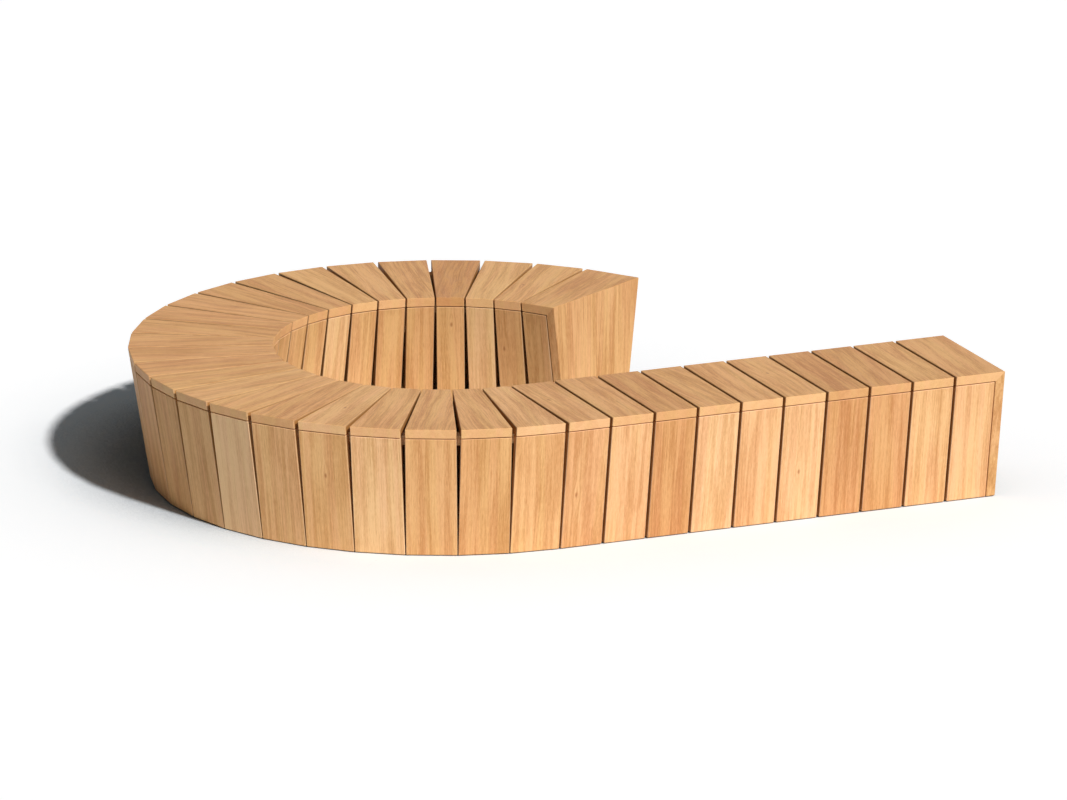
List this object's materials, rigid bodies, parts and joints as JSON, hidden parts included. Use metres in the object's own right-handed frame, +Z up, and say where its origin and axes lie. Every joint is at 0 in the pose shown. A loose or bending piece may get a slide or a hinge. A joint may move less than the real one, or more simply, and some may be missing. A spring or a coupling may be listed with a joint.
{
  "type": "curved garden bench",
  "caption": "Hollow hardwood slatted bench whose seat curls from a straight run into an open ring, with boarded walls leaning in towards the floor.",
  "frame": {"origin": "the middle of the plan's bounding box, at floor level", "axes": "+X along the straight run towards its free end, +Y from the straight run's front towards the far side of the ring, +Z up"},
  "size_m": [2.631, 2.1087, 0.45],
  "materials": {
    "seat_timber": "planed and oiled hardwood, fine straight grain across the seat",
    "cladding_timber": "planed and oiled hardwood, fine upright grain",
    "panel_timber": "planed and oiled hardwood panel, upright grain",
    "frame_timber": "sawn hardwood frame timber",
    "galvanised_steel": "hot-dip galvanised",
    "stainless_steel": "stainless"
  },
  "bodies": {
    "root": {"bottom_ties": "frame_timber", "bracket_screws": "stainless_steel", "cladding_screws": "cladding_timber", "floor_brackets": "galvanised_steel", "frame_bolts": "galvanised_steel", "frame_nuts": "galvanised_steel", "inner_posts": "frame_timber", "inner_sole_rail": "frame_timber", "inner_top_rail": "frame_timber", "outer_posts": "frame_timber", "outer_sole_rail": "frame_timber", "outer_top_rail": "frame_timber", "panel_screws": "stainless_steel", "ring_end_panel": "panel_timber", "ring_inner_cladding": "cladding_timber", "ring_outer_cladding": "cladding_timber", "ring_seat_board_01": "seat_timber", "ring_seat_board_02": "seat_timber", "ring_seat_board_03": "seat_timber", "ring_seat_board_04": "seat_timber", "ring_seat_board_05": "seat_timber", "ring_seat_board_06": "seat_timber", "ring_seat_board_07": "seat_timber", "ring_seat_board_08": "seat_timber", "ring_seat_board_09": "seat_timber", "ring_seat_board_10": "seat_timber", "ring_seat_board_11": "seat_timber", "ring_seat_board_12": "seat_timber", "ring_seat_board_13": "seat_timber", "ring_seat_board_14": "seat_timber", "ring_seat_board_15": "seat_timber", "ring_seat_board_16": "seat_timber", "ring_seat_board_17": "seat_timber", "ring_seat_board_18": "seat_timber", "ring_seat_board_19": "seat_timber", "ring_seat_board_20": "seat_timber", "ring_seat_board_21": "seat_timber", "ring_seat_board_22": "seat_timber", "ring_seat_board_23": "seat_timber", "ring_seat_board_24": "seat_timber", "seat_bearers": "frame_timber", "seat_screws": "stainless_steel", "straight_back_cladding": "cladding_timber", "straight_end_panel": "panel_timber", "straight_front_cladding": "cladding_timber", "straight_seat_board_01": "seat_timber", "straight_seat_board_02": "seat_timber", "straight_seat_board_03": "seat_timber", "straight_seat_board_04": "seat_timber", "straight_seat_board_05": "seat_timber", "straight_seat_board_06": "seat_timber", "straight_seat_board_07": "seat_timber", "straight_seat_board_08": "seat_timber", "straight_seat_board_09": "seat_timber", "straight_seat_board_10": "seat_timber"}
  },
  "joints": []
}
